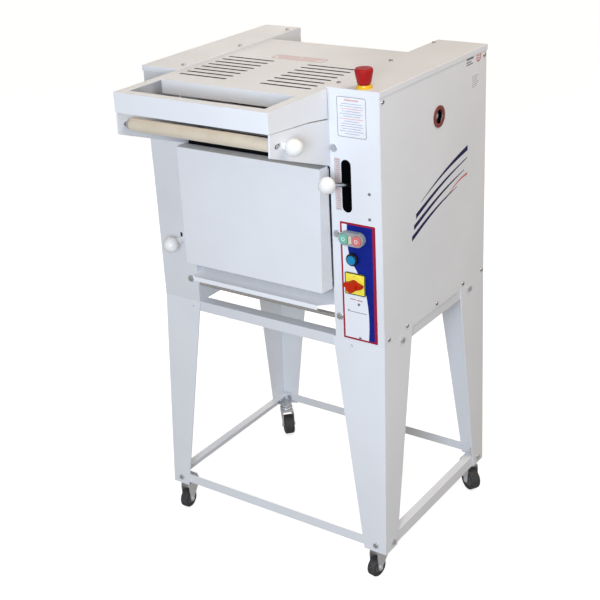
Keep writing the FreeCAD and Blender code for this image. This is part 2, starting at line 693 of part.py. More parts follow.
# ---------------------------------------------------------------- controls
def rounded_box(x0, x1, y0, y1, z0, z1, r):
    """Block whose four edges along Y are rounded."""
    block = box(x0, x1, y0, y1, z0, z1)
    edges = [e for e in block.Edges if abs(e.Vertexes[0].Y - e.Vertexes[1].Y) > 1e-6]
    return block.makeFillet(r, edges)


FACE = Y_FRONT - 0.6          # outer face of the control label
x0, x1, z0, z1 = LABEL
nodes["control_label"] = rounded_box(x0, x1, FACE, Y_FRONT, z0, z1, 3)

x0, x1, z0, z1 = PUSH
bezel = rounded_box(x0, x1, FACE - 14, FACE, z0, z1, 16)
START = (x0 + 4, x0 + 26, z0 + 4, z1 - 4)
STOP = (x1 - 26, x1 - 4, z0 + 4, z1 - 4)
for bx0, bx1, bz0, bz1 in (START, STOP):
    bezel = bezel.cut(
        rounded_box(bx0 - 0.4, bx1 + 0.4, FACE - 15, FACE - 3, bz0 - 0.4, bz1 + 0.4, 10.9)
    )
lamp = rounded_box(x0 + 28.5, x1 - 28.5, FACE - 16.5, FACE - 14, z0 + 7, z1 - 7, 2)
nodes["push_bezel"] = fuse([bezel, lamp])
nodes["button_start"] = rounded_box(START[0], START[1], FACE - 17, FACE - 6, START[2], START[3], 10.5)
nodes["button_stop"] = rounded_box(STOP[0], STOP[1], FACE - 19, FACE - 6, STOP[2], STOP[3], 10.5)

x, z = JOG
jog_ring = cyl_y(FACE - 9, FACE, x, z, 15)
jog_ring = jog_ring.makeFillet(2.0, [e for e in jog_ring.Edges if e.Vertexes[0].Y < FACE - 8])
nodes["jog_bezel"] = jog_ring.cut(cyl_y(FACE - 10, FACE - 3, x, z, 11.4))
nodes["jog_button"] = cyl_y(FACE - 11, FACE - 5.5, x, z, 11)

x, z = ISOLATOR
plate = rounded_box(x - 27, x + 27, FACE - 4, FACE, z - 27, z + 27, 4)
plate = plate.fuse(cyl_y(FACE - 8, FACE - 4, x, z, 21))
nodes["isolator_plate"] = plate.cut(cyl_y(FACE - 9, FACE - 1, x, z, 6 + FIT))
grip = fuse([
    cyl_y(FACE - 27, FACE - 8.4, x, z, 13),
    prism(
        [(x - 25, FACE - 8.4, z - 3), (x, FACE - 8.4, z - 13), (x + 25, FACE - 8.4, z - 3),
         (x + 25, FACE - 8.4, z + 3), (x, FACE - 8.4, z + 13), (x - 25, FACE - 8.4, z + 3)],
        (0, -10, 0),
    ),
    cyl_y(FACE - 12, FACE - 2, x, z, 6),
])
nodes["isolator_handle"] = grip

x, y = ESTOP
collar = fuse([
    cyl_z(Z_TOP, Z_TOP + 4, x, y, 18),
    Part.makeCone(17.5, 16, 8, Vector(x, y, Z_TOP), Vector(0, 0, 1)),
])
nodes["estop_base"] = collar.cut(cyl_z(Z_TOP - 1, Z_TOP + 20, x, y, 11 + FIT))
outline = [(0, 4), (11, 4), (11, 11.6), (15.6, 11.6), (16.4, 16), (20.2, 35), (20.5, 40), (18.5, 44), (0, 44)]
profile = Part.makePolygon([Vector(x + r, y, Z_TOP + h) for r, h in outline + outline[:1]])
nodes["estop_head"] = Part.Face(profile).revolve(Vector(x, y, 0), Vector(0, 0, 1), 360)

gx, gz = 262.0, 700.0
nodes["cable_gland"] = fuse([
    hexagon_head((gx, Y_REAR, gz), (0, 1, 0), 24, 5),
    cyl_y(Y_REAR - 8, Y_REAR + 12, gx, gz, 8),
]).cut(cyl_y(Y_REAR - 9, Y_REAR + 13, gx, gz, 4.5))

# ---------------------------------------------------------------- screws and bolts
screws = []
for y in (-111, 115, 326):
    screws.append(dome_head((X_RIGHT + 9, y, Z_TOP), (0, 0, 1), 5.5, 2.8))
    screws.append(dome_head((X_LEFT - 18, y, Z_TOP), (0, 0, 1), 5.5, 2.8))
for y, z in ((-137, 1226), (349, 1226), (-130, 655), (-44, 655), (104, 655), (244, 655), (349, 655)):
    screws.append(dome_head((HALF_W, y, z), (1, 0, 0), 5.5, 2.6))
for x, z in ((303, 1016), (302, 956)):
    screws.append(dome_head((x, Y_FRONT, z), (0, -1, 0), 4, 2.0))
for x, z in ((267, 739), (268, 652)):
    screws.append(dome_head((x, FACE, z), (0, -1, 0), 3.6, 1.8))
nodes["panel_screws"] = Part.makeCompound(screws)

bolts = []
for x, z in ((213, 1112), (213, 907), (213, 698), (-242, 704)):
    bolts.append(hexagon_head((x, Y_FRONT, z), (0, -1, 0), 13, 5))
for y, z in ((-70, 628), (278, 628)):
    for sx in (-1, 1):
        bolts.append(hexagon_head((sx * leg_flank_offset(z), y, z), (sx, 0, 0), 13, 5))
for rear, inward in ((False, 1), (True, -1)):
    z = BAR_BOLT_Z
    y_out = leg_face_offset(z, rear)
    for sx in (-1, 1):
        bolts.append(
            hexagon_head((sx * 316, y_out, z), (0, -inward, 0), 13, 5)
        )
        bolts.append(
            hexagon_head((sx * 316, y_out + inward * (LEG_T + BAR_T), z), (0, inward, 0), 13, 5)
        )
        x_out = leg_flank_offset(z)
        y_at = y_out + inward * 34
        bolts.append(hexagon_head((sx * x_out, y_at, z), (sx, 0, 0), 13, 5))
        bolts.append(
            hexagon_head((sx * (x_out - LEG_T - BAR_T), y_at, z), (-sx, 0, 0), 13, 5)
        )
stand = [shape for name, shape in nodes.items() if name.startswith("leg_") or name.endswith("_bars")]
nodes["frame_bolts"] = Part.makeCompound([bolt.cut(stand) for bolt in bolts])

# ---------------------------------------------------------------- export
# The origin lies under the middle of the whole machine's outline.
os.makedirs("parts", exist_ok=True)
for name, shape in nodes.items():
    shape.translate(ORIGIN_SHIFT)
    shape.exportStep("parts/" + name + ".step")
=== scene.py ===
import json
import math

import bmesh
import bpy
from mathutils import Matrix, Vector, noise


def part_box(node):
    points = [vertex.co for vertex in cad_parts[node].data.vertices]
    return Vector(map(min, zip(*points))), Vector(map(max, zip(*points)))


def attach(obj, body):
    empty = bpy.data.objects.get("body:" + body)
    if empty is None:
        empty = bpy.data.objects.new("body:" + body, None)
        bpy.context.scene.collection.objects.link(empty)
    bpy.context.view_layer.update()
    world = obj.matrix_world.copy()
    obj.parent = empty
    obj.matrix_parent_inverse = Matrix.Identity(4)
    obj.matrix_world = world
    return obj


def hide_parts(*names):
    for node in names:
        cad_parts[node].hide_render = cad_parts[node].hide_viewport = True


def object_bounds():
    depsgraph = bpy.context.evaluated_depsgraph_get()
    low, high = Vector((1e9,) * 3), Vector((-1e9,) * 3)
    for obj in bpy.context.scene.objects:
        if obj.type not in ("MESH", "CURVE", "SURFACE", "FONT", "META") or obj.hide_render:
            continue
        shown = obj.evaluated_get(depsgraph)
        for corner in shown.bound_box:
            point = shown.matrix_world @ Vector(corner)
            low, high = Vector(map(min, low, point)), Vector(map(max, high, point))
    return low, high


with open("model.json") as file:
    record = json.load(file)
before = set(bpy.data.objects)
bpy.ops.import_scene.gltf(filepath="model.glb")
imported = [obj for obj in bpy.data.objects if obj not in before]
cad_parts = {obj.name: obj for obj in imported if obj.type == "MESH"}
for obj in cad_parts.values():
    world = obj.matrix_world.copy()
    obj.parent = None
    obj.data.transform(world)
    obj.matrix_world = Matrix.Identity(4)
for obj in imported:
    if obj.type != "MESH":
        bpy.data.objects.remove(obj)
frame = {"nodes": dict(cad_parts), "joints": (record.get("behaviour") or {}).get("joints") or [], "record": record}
CAD_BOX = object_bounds()
NODES = frame["nodes"]
JOINTS = {j["name"]: j for j in frame["joints"]}
MM = 0.001


# ---------------------------------------------------------------- places
# Faces of the machine in the CAD source's own millimetres, before it centres the machine.
FRONT_Y = -150.0  # front of both cabinets
REAR_Y = 362.0  # rear of both cabinets
PANEL_X = 334.0  # outer face of the right side panel
DECK_Z = 1247.0  # top of the hood
X_INNER = (-220.0, 198.0)  # inner faces of the two cabinets


def hi(node):
    """Highest corner of a CAD node's box."""
    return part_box(node)[1]


ORIGIN = Vector((hi("right_side_panel").x - PANEL_X * MM, hi("right_side_panel").y - REAR_Y * MM, 0.0))


def at(x, y, z):
    """A point given in the CAD source's millimetres."""
    return ORIGIN + Vector((x, y, z)) * MM


# ---------------------------------------------------------------- materials
class Shader:
    """One node material, with short calls for the nodes that most of them use."""

    def __init__(self, name, color, rough, metal=0.0, **sockets):
        self.material = bpy.data.materials.new(name)
        self.material.use_nodes = True
        self.tree = self.material.node_tree
        self.bsdf = self.tree.nodes["Principled BSDF"]
        self.set("Base Color", (*color, 1.0))
        self.set("Roughness", rough)
        self.set("Metallic", metal)
        for key, value in sockets.items():
            self.set(key.replace("_", " "), value)
        self.space = self.node("ShaderNodeTexCoord").outputs["Object"]

    def set(self, socket, value):
        self.put(self.bsdf.inputs[socket], value)

    def put(self, socket, value):
        if isinstance(value, bpy.types.NodeSocket):
            self.tree.links.new(value, socket)
        elif value is not None:
            socket.default_value = value

    def node(self, kind, *inputs, **settings):
        made = self.tree.nodes.new(kind)
        for key, value in settings.items():
            setattr(made, key, value)
        for socket, value in zip(made.inputs, inputs):
            self.put(socket, value)
        return made

    def stretch(self, x, y, z):
        """Object coordinates scaled along each axis."""
        made = self.node("ShaderNodeMapping", self.space)
        made.inputs["Scale"].default_value = (x, y, z)
        return made.outputs[0]

    def noise(self, scale, detail=3.0, rough=0.5, space=None):
        made = self.node("ShaderNodeTexNoise")
        self.put(made.inputs["Vector"], space or self.space)
        made.inputs["Scale"].default_value = scale
        made.inputs["Detail"].default_value = detail
        made.inputs["Roughness"].default_value = rough
        return made.outputs["Fac"]

    def math(self, what, a, b=None, clamp=False):
        made = self.node("ShaderNodeMath", a, b, operation=what, use_clamp=clamp)
        return made.outputs[0]

    def span(self, value, a, b, to_a=0.0, to_b=1.0):
        """Value mapped from a..b to to_a..to_b, and held at the ends."""
        made = self.node("ShaderNodeMapRange", value, a, b, to_a, to_b)
        return made.outputs[0]

    def mix(self, factor, a, b):
        made = self.node("ShaderNodeMix", data_type="RGBA")
        self.put(made.inputs["Factor"], factor)
        for key, value in (("A", a), ("B", b)):
            socket = [s for s in made.inputs if s.name == key and s.type == "RGBA"][0]
            self.put(socket, value if isinstance(value, bpy.types.NodeSocket) else (*value, 1.0))
        return [s for s in made.outputs if s.type == "RGBA"][0]

    def bump(self, height, strength, distance):
        made = self.node("ShaderNodeBump")
        made.inputs["Strength"].default_value = strength
        made.inputs["Distance"].default_value = distance
        self.put(made.inputs["Height"], height)
        self.set("Normal", made.outputs[0])
        return self

    def axes(self):
        return self.node("ShaderNodeSeparateXYZ", self.space).outputs


def powder_coat(name, color, rough=0.36):
    s = Shader(name, color, rough, Specular_IOR_Level=0.5)
    cloud = s.noise(3.1, 4.0, 0.6)
    speck = s.noise(60.0, 5.0, 0.75)
    pale = tuple(min(1.0, c * 1.015) for c in color)
    dull = tuple(c * 0.955 for c in color)
    tone = s.mix(s.span(cloud, 0.35, 0.68), pale, dull)
    dust = s.span(speck, 0.62, 0.78, 0.0, 0.22)
    s.set("Base Color", s.mix(dust, tone, (color[0] * 0.86, color[1] * 0.85, color[2] * 0.81)))
    s.set("Roughness", s.span(s.noise(11.0, 4.0, 0.6), 0.3, 0.7, rough - 0.05, rough + 0.09))
    return s.bump(s.noise(650.0, 2.0, 0.5), 0.10, 0.0004)


def bare_metal(name, color, rough, along=None, grain=0.12, spots=0.0):
    """Bare or plated metal; along names the axis of its brushing or turning marks."""
    s = Shader(name, color, rough, 1.0)
    if along is None:
        space = s.space
    else:
        space = s.stretch(*[(0.03 if along == k else 1.0) for k in "xyz"])
    fine = s.noise(900.0, 4.0, 0.6, space)
    stain = s.noise(26.0, 5.0, 0.65)
    dark = tuple(c * 0.80 for c in color)
    s.set("Base Color", s.mix(s.span(stain, 0.42, 0.75, 0.0, 0.45 + spots), color, dark))
    s.set("Roughness", s.span(fine, 0.25, 0.75, rough - grain / 2, rough + grain))
    return s.bump(fine, 0.12, 0.0003)


def moulded(name, color, rough=0.3, grain=0.05, **more):
    s = Shader(name, color, rough, **{"Specular_IOR_Level": 0.5, **more})
    cloud = s.noise(48.0, 4.0, 0.6)
    s.set("Base Color", s.mix(s.span(cloud, 0.3, 0.75), color, tuple(c * 0.88 for c in color)))
    s.set("Roughness", s.span(s.noise(180.0, 4.0, 0.7), 0.3, 0.72, rough, rough + 0.14))
    return s.bump(s.noise(1500.0, 2.0), grain, 0.0002)


def felt_cloth():
    """Woven wool felt: soft fibres over a faint plain weave, dusted with flour."""
    s = Shader("felt", (0.66, 0.58, 0.44), 0.95, Sheen_Weight=0.35, Sheen_Roughness=0.5)
    fibre = s.noise(1100.0, 6.0, 0.75, s.stretch(0.35, 1.0, 1.0))
    blotch = s.noise(16.0, 5.0, 0.65)
    weave = s.node("ShaderNodeTexWave", bands_direction="X")
    s.put(weave.inputs["Vector"], s.space)
    weave.inputs["Scale"].default_value = 190.0
    weave.inputs["Distortion"].default_value = 1.6
    weave.inputs["Detail"].default_value = 2.0
    weave.inputs["Detail Scale"].default_value = 30.0
    base = s.mix(s.span(blotch, 0.30, 0.74), (0.72, 0.625, 0.485), (0.635, 0.535, 0.40))
    base = s.mix(s.span(fibre, 0.5, 0.72, 0.0, 0.5), base, (0.80, 0.725, 0.61))
    s.set("Base Color", base)
    height = s.math("ADD", s.math("MULTIPLY", weave.outputs["Fac"], 0.35), fibre)
    return s.bump(height, 0.55, 0.0010)


def tyre_rubber():
    """Dark rubber, greyer and dustier in scuffed patches."""
    s = Shader("tyre", (0.03, 0.03, 0.032), 0.62)
    scuff = s.noise(210.0, 6.0, 0.7)
    patch = s.noise(45.0, 4.0, 0.6)
    amount = s.math("MULTIPLY", s.span(scuff, 0.45, 0.7), s.span(patch, 0.35, 0.7, 0.25, 1.0))
    s.set("Base Color", s.mix(amount, (0.028, 0.028, 0.031), (0.13, 0.125, 0.12)))
    s.set("Roughness", s.span(scuff, 0.3, 0.7, 0.5, 0.85))
    return s.bump(scuff, 0.35, 0.0006)


def control_foil():
    """Printed foil of the control column: red frame, white field, blue field right of a curve."""
    s = Shader("label", (0.84, 0.86, 0.89), 0.4, Specular_IOR_Level=0.22)
    x, _, z = s.axes()
    a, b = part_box("control_label")
    along_x = s.span(x, a.x, b.x)
    along_z = s.span(z, a.z, b.z)
    curve = s.node("ShaderNodeFloatCurve")
    s.put(curve.inputs["Value"], along_z)
    points = curve.mapping.curves[0].points
    shape = [(0.0, 0.735), (0.16, 0.765), (0.30, 0.745), (0.45, 0.665), (0.60, 0.45), (0.70, 0.27),
             (0.80, 0.205), (1.0, 0.20)]
    for point, place in zip((points[0], points[1]), (shape[0], shape[-1])):
        point.location = place
    for place in shape[1:-1]:
        points.new(*place)
    curve.mapping.update()
    side = s.math("SUBTRACT", along_x, curve.outputs[0])
    blue = s.span(side, -0.004, 0.004)
    grain = s.noise(420.0, 3.0)
    white = s.mix(s.span(grain, 0.4, 0.7), (0.84, 0.86, 0.89), (0.79, 0.81, 0.85))
    navy = s.mix(s.span(s.noise(30.0, 4.0), 0.35, 0.7), (0.0015, 0.010, 0.19), (0.002, 0.016, 0.26))
    color = s.mix(blue, white, navy)
    wide, tall = (b.x - a.x), (b.z - a.z)
    border, right_border, blur = 5.0 * MM, 8.0 * MM, 0.25 * MM
    for value, size in ((along_x, wide), (along_z, tall)):
        edge = s.math("MULTIPLY", s.math("MINIMUM", value, s.math("SUBTRACT", 1.0, value)), size)
        red = s.span(edge, border, border - blur)
        color = s.mix(red, color, (0.36, 0.010, 0.03))
    right_edge = s.span(along_x, 1.0 - right_border / wide, 1.0 - (right_border - 0.2 * MM) / wide)
    color = s.mix(right_edge, color, (0.34, 0.010, 0.04))
    s.set("Base Color", color)
    s.set("Roughness", s.span(grain, 0.3, 0.7, 0.34, 0.48))
    return s.bump(grain, 0.05, 0.0002)


def isolator_body():
    """Yellow front plate on the black body behind it."""
    s = Shader("yellow_plate", (0.9, 0.72, 0.03), 0.35)
    split = hi("isolator_plate").y - 2.5 * MM
    ahead = s.span(s.axes()[1], split + 0.1 * MM, split - 0.1 * MM)
    tone = s.mix(s.span(s.noise(60.0), 0.3, 0.7), (0.96, 0.84, 0.10), (0.92, 0.78, 0.06))
    s.set("Base Color", s.mix(ahead, (0.012, 0.012, 0.014), tone))
    return s.bump(s.noise(1200.0), 0.05, 0.0002)


WHITE = (0.80, 0.815, 0.845)
MATERIALS = {
    "white_paint": powder_coat("white_paint", WHITE),
    "zinc": bare_metal("zinc", (0.80, 0.81, 0.83), 0.46, grain=0.16, spots=0.1),
    "felt": felt_cloth(),
    "steel": bare_metal("steel", (0.58, 0.58, 0.59), 0.36, "x"),
    "polished_steel": bare_metal("polished_steel", (0.72, 0.72, 0.73), 0.18, "x", 0.08),
    "cast": bare_metal("cast", (0.20, 0.20, 0.21), 0.55, grain=0.2, spots=0.4),
    "motor_grey": powder_coat("motor_grey", (0.16, 0.19, 0.21), 0.5),
    "belt_rubber": moulded("belt_rubber", (0.022, 0.022, 0.024), 0.6, 0.3),
    "tyre": tyre_rubber(),
    "label": control_foil(),
    "clear_grey_plastic": moulded(
        "clear_grey_plastic", (0.62, 0.68, 0.68), 0.30, 0.05, Transmission_Weight=0.45, IOR=1.41
    ),
    "black_plastic": moulded("black_plastic", (0.010, 0.010, 0.012), 0.42, 0.12, Specular_IOR_Level=0.3),
    "yellow_plastic": moulded("yellow_plastic", (0.84, 0.50, 0.01), 0.32),
    "red_plastic": moulded("red_plastic", (0.42, 0.006, 0.008), 0.34, Specular_IOR_Level=0.3),
    "green_plastic": moulded("green_plastic", (0.06, 0.44, 0.27), 0.34),
    "blue_plastic": moulded("blue_plastic", (0.012, 0.25, 0.50), 0.3, Specular_IOR_Level=0.3),
    "white_plastic": moulded("white_plastic", (0.90, 0.89, 0.87), 0.20, 0.02),
    "dark_red": moulded("dark_red", (0.22, 0.035, 0.03), 0.35),
    "yellow_plate": isolator_body(),
    # Painted shade: a darker copy of the white paint for parts that lie in shade.
    "painted_shade_white": powder_coat("painted_shade_white", tuple(c * 0.93 for c in WHITE)),
    # Painted light: a lighter copy of the white paint for the discharge plate, which lies in the door's shade.
    "painted_light_white": powder_coat("painted_light_white", tuple(c * 1.13 for c in WHITE)),
    "boot_green": moulded("boot_green", (0.19, 0.52, 0.40), 0.30, Specular_IOR_Level=0.6),
    "boot_red": moulded("boot_red", (0.70, 0.20, 0.19), 0.30, Specular_IOR_Level=0.6),
    "screw_steel": bare_metal("screw_steel", (0.46, 0.46, 0.47), 0.24, spots=0.1),
    "bolt_steel": bare_metal("bolt_steel", (0.68, 0.69, 0.71), 0.30, spots=0.2),
    "orange_red": moulded("orange_red", (0.55, 0.022, 0.002), 0.34, Specular_IOR_Level=0.2),
    # Painted shade: near-black for the dark fills set where the inside lies in shade, behind slots, louvres, vents
    # and gaps.
    "painted_shade_black": moulded("painted_shade_black", (0.003, 0.003, 0.004), 0.7, 0.2, Specular_IOR_Level=0.12),
    "film_white": moulded("film_white", (0.86, 0.865, 0.88), 0.3),
    "scale_film": moulded("scale_film", (0.66, 0.58, 0.58), 0.35),
    "ink_grey": moulded("ink_grey", (0.20, 0.21, 0.24), 0.4),
    "ink_pale": moulded("ink_pale", (0.46, 0.49, 0.60), 0.4),
    "ink_red": moulded("ink_red", (0.60, 0.16, 0.16), 0.4),
    "ink_pink": moulded("ink_pink", (0.74, 0.42, 0.42), 0.4),
    "ink_navy": moulded("ink_navy", (0.006, 0.005, 0.075), 0.4, Specular_IOR_Level=0.25),
    "hub_grey": moulded("hub_grey", (0.10, 0.10, 0.105), 0.5, 0.2),
    "lamp_amber": moulded("lamp_amber", (0.78, 0.70, 0.50), 0.25),
}


# ---------------------------------------------------------------- CAD nodes
ROUNDING = {"white_paint": 0.7, "steel": 0.4, "polished_steel": 0.5, "cast": 0.6}
SMALL_ROUNDING = 0.3
# Painted shade and painted light: the left side frame, left cabinet and stand top frame take a darker copy of the
# white paint, and the discharge plate a lighter one.
OWN_FINISH = {
    "isolator_plate": "yellow_plate", "isolator_handle": "orange_red", "panel_screws": "screw_steel",
    "frame_bolts": "bolt_steel", "left_side_frame": "painted_shade_white", "left_cabinet": "painted_shade_white",
    "stand_top_frame": "painted_shade_white", "discharge_plate": "painted_light_white", "gap_lever": "screw_steel",
    "button_start": "boot_green", "button_stop": "boot_red",
}


def soften(obj, width):
    """Joins the faces of a CAD mesh and rounds its sharp edges."""
    weld = obj.modifiers.new("weld", "WELD")
    weld.merge_threshold = 0.01 * MM
    flat = obj.modifiers.new("flat", "DECIMATE")
    flat.decimate_type = "DISSOLVE"
    flat.angle_limit = math.radians(0.3)
    bevel = obj.modifiers.new("round", "BEVEL")
    bevel.width = width
    bevel.segments = 2
    bevel.limit_method = "ANGLE"
    bevel.angle_limit = math.radians(28.0)
    normals = obj.modifiers.new("normals", "WEIGHTED_NORMAL")
    normals.weight = 60


def dress_cad_nodes():
    """Gives every CAD node its material and its rounded edges."""
    for part in frame["record"]["subparts"]:
        name, slot = part["node"], part["material_slot"]
        obj = NODES[name]
        obj.data.materials.clear()
        obj.data.materials.append(MATERIALS[OWN_FINISH.get(name, slot)].material)
        soften(obj, ROUNDING.get(slot, SMALL_ROUNDING) * MM)


# ---------------------------------------------------------------- piece builders
def piece(name, shell, body, slot, finish=None, crease=35.0):
    """Makes a named piece from a bmesh; it rides on a body and takes the material of its finish, or else of its
    slot.
    """
    bmesh.ops.recalc_face_normals(shell, faces=shell.faces)
    mesh = bpy.data.meshes.new(name)
    shell.to_mesh(mesh)
    shell.free()
    mesh.shade_smooth()
    mesh.set_sharp_from_angle(angle=math.radians(crease))
    mesh.materials.append(MATERIALS[finish or slot].material)
    obj = bpy.data.objects.new(name, mesh)
    bpy.context.scene.collection.objects.link(obj)
    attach(obj, body)
    return obj


def front(u, v, d):
    """Point on the cabinets' front: x, z, and how far it stands proud."""
    return at(u, FRONT_Y - d, v)


def right(u, v, d):
    """Point on the right side panel: y, z, and how far it stands proud."""
    return at(PANEL_X + d, u, v)


def deck(u, v, d):
    """Point on the hood's deck: x, y, and how far it stands proud."""
    return at(u, v, DECK_Z + d)


def behind(u, v, d):
    """Point on the cabinets' rear: x, z, and how far it stands proud."""
    return at(u, REAR_Y + d, v)


def rounded(u0, u1, v0, v1, r, steps=5):
    """Outline of a rectangle with round corners."""
    corners = ((u1 - r, v1 - r, 0), (u0 + r, v1 - r, 90), (u0 + r, v0 + r, 180), (u1 - r, v0 + r, 270))
    outline = []
    for cu, cv, first in corners:
        for k in range(steps + 1):
            a = math.radians(first + 90.0 * k / steps)
            outline.append((cu + r * math.cos(a), cv + r * math.sin(a)))
    return outline


def walls(shell, ring_a, ring_b):
    """Adds a strip of faces between two closed rings of vertices."""
    n = len(ring_a)
    for k in range(n):
        shell.faces.new((ring_a[k], ring_a[(k + 1) % n], ring_b[(k + 1) % n], ring_b[k]))


def plate(shell, outline, depth, place, edge=0.0):
    """Adds a raised plate; its upper edge is chamfered by edge millimetres."""
    cu = sum(p[0] for p in outline) / len(outline)
    cv = sum(p[1] for p in outline) / len(outline)
    inset = []
    for u, v in outline:
        away = math.hypot(u - cu, v - cv) or 1.0
        inset.append((u - (u - cu) / away * edge, v - (v - cv) / away * edge))
    rings = [[shell.verts.new(place(u, v, 0.0)) for u, v in outline],
             [shell.verts.new(place(u, v, depth - edge)) for u, v in outline]]
    if edge:
        rings.append([shell.verts.new(place(u, v, depth)) for u, v in inset])
    for lower, upper in zip(rings, rings[1:]):
        walls(shell, lower, upper)
    shell.faces.new(rings[0])
    shell.faces.new(rings[-1])
    return shell


def band(shell, outer, inner, depth, place):
    """Adds a raised frame between two outlines with the same number of points."""
    low_out = [shell.verts.new(place(u, v, 0.0)) for u, v in outer]
    top_out = [shell.verts.new(place(u, v, depth)) for u, v in outer]
    top_in = [shell.verts.new(place(u, v, depth)) for u, v in inner]
    low_in = [shell.verts.new(place(u, v, 0.0)) for u, v in inner]
    for a, b in ((low_out, top_out), (top_out, top_in), (top_in, low_in), (low_in, low_out)):
        walls(shell, a, b)
    return shell


def turned(shell, profile, origin, axis, steps=40):
    """Adds a turned solid; the profile is (height, radius) pairs in millimetres."""
    turn = Vector(axis).to_track_quat("Z", "Y").to_matrix()
    rings = []
    for height, radius in profile:
        if radius == 0:
            rings.append([shell.verts.new(origin + turn @ Vector((0, 0, height)) * MM)] * steps)
            continue
        ring = []
        for k in range(steps):
            a = 2 * math.pi * k / steps
            spot = Vector((radius * math.cos(a), radius * math.sin(a), height)) * MM
            ring.append(shell.verts.new(origin + turn @ spot))
        rings.append(ring)
    for a, b in zip(rings, rings[1:]):
        for k in range(steps):
            n = (k + 1) % steps
            corners = list(dict.fromkeys((a[k], a[n], b[n], b[k])))
            if len(corners) > 2:
                shell.faces.new(corners)
    return shell


# ---------------------------------------------------------------- felt belts
FELT_THICK = 3.0
INFEED_AXES, INFEED_FELT_R = ((-348.0, 1168.0), (-165.0, 1099.0)), 11.8
MOULDING_AXES, MOULDING_FELT_R = ((-105.0, 792.0), (-85.0, 985.0)), 25.3


def felt_loop(name, node, ends, radius, x0, x1, columns=72, steps=160):
    """Endless felt belt: fuzzy surface, worn round edges, slight waviness between the rollers."""
    p0, p1 = Vector(ends[0]), Vector(ends[1])
    run = p1 - p0
    heading = math.atan2(run.y, run.x)
    arc, straight = math.pi * radius, run.length
    total = 2 * (arc + straight)

    def rail(s, offset):
        """Point (y, z) at the distance s along the loop, offset outwards."""
        s %= total
        r = radius + offset
        if s < straight:
            u = s / straight
            n = heading + math.pi / 2
            return p0 + run * u + Vector((math.cos(n), math.sin(n))) * r
        s -= straight
        if s < arc:
            n = heading + math.pi / 2 - s / radius
            return p1 + Vector((math.cos(n), math.sin(n))) * r
        s -= arc
        if s < straight:
            n = heading - math.pi / 2
            return p1 - run * (s / straight) + Vector((math.cos(n), math.sin(n))) * r
        s -= straight
        n = heading - math.pi / 2 - s / radius
        return p0 + Vector((math.cos(n), math.sin(n))) * r

    shell = bmesh.new()
    outer, inner = [], []
    for i in range(steps):
        s = total * i / steps
        top, low = [], []
        for j in range(columns + 1):
            t = j / columns
            x = x0 + (x1 - x0) * t
            edge = min(t, 1 - t) * (x1 - x0)
            worn = 0.9 * max(0.0, 1 - edge / 2.5) ** 2
            here = Vector((x * 0.055, s * 0.055, 0.0))
            lump = 0.22 * noise.noise(here) + 0.16 * noise.noise(here * 6.0)
            wave = 0.5 * noise.noise(Vector((x * 0.008, s * 0.012, 3.0)))
            fray = 0.35 * noise.noise(Vector((s * 0.22, 7.0 if t > 0.5 else 1.0, 0.0)))
            shift = fray if j in (0, columns) else 0.0
            y, z = rail(s, FELT_THICK - worn + lump + min(0.0, wave) - 0.1)
            top.append(shell.verts.new(at(x + shift, y, z)))
            y, z = rail(s, worn * 0.5)
            low.append(shell.verts.new(at(x + shift, y, z)))
        outer.append(top)
        inner.append(low)
    for i in range(steps):
        n = (i + 1) % steps
        for j in range(columns):
            shell.faces.new((outer[i][j], outer[i][j + 1], outer[n][j + 1], outer[n][j]))
            shell.faces.new((inner[i][j], inner[n][j], inner[n][j + 1], inner[i][j + 1]))
        shell.faces.new((outer[i][0], outer[n][0], inner[n][0], inner[i][0]))
        shell.faces.new((outer[i][-1], inner[i][-1], inner[n][-1], outer[n][-1]))
    belt = piece(name, shell, "frame", "felt", crease=60.0)
    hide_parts(node)


# ---------------------------------------------------------------- stickers and scales
FILM = 0.25  # thickness of a sticker
PRINT = 0.32  # height of the print on a sticker, from the sheet metal


def sticker(name, outline, place, body, finish):
    piece(name, plate(bmesh.new(), outline, FILM, place, 0.08), body, "label", finish)


def print_lines(name, rows, place, body, finish, depth=PRINT):
    """Plain printed bars; each row is (u0, u1, v, height)."""
    shell = bmesh.new()
    for u0, u1, v, tall in rows:
        plate(shell, rounded(u0, u1, v - tall / 2, v + tall / 2, tall * 0.4, 2), depth, place)
    piece(name, shell, body, "label", finish)


def warning_label():
    """Instruction sticker: round grey outline with faint plain bars in place of writing."""
    u0, u1, v0, v1 = 224.0, 301.0, 1140.0, 1233.0
    sticker("notice_film", rounded(u0, u1, v0, v1, 5.0), front, "frame", "film_white")
    outline = band(bmesh.new(), rounded(u0 + 1, u1 - 1, v0 + 1, v1 - 1, 5.0),
                   rounded(u0 + 2.3, u1 - 2.3, v0 + 2.3, v1 - 2.3, 4.2), PRINT, front)
    piece("notice_outline", outline, "frame", "label", "ink_grey")
    middle, widths = (u0 + u1) / 2, (52, 60, 56, 50, 58, 44, 60, 40, 54, 58, 48, 60, 38)
    red, pale = [], []
    for k, wide in enumerate(widths):
        row = (middle - wide / 2, middle + wide / 2, v1 - 16.5 - 5.6 * k, 1.7)
        (red if k in (2, 6) else pale).append(row)
    red.append((middle - 19, middle + 19, v1 - 8.5, 3.4))
    print_lines("notice_lines", pale, front, "frame", "ink_pale")
    print_lines("notice_heading", red, front, "frame", "ink_pink")


def gap_scale():
    """Strip of graduations beside the lever's slot."""
    u0, u1, v0, v1 = 212.5, 228.5, 966.0, 1090.0
    sticker("scale_strip", rounded(u0, u1, v0, v1, 1.5, 3), front, "frame", "scale_film")
    count = 26
    rows = {"ink_grey": [], "ink_red": []}
    for k in range(count):
        v = v0 + 4 + (v1 - v0 - 8) * k / (count - 1)
        long_mark = k % 5 == 0
        start = u0 + (2.0 if long_mark else 5.0)
        rows["ink_red" if k % 2 else "ink_grey"].append((start, u1 - 2.0, v, 1.0 if long_mark else 0.8))
    for finish, marks in rows.items():
        print_lines("scale_" + finish[4:], marks, front, "frame", finish)


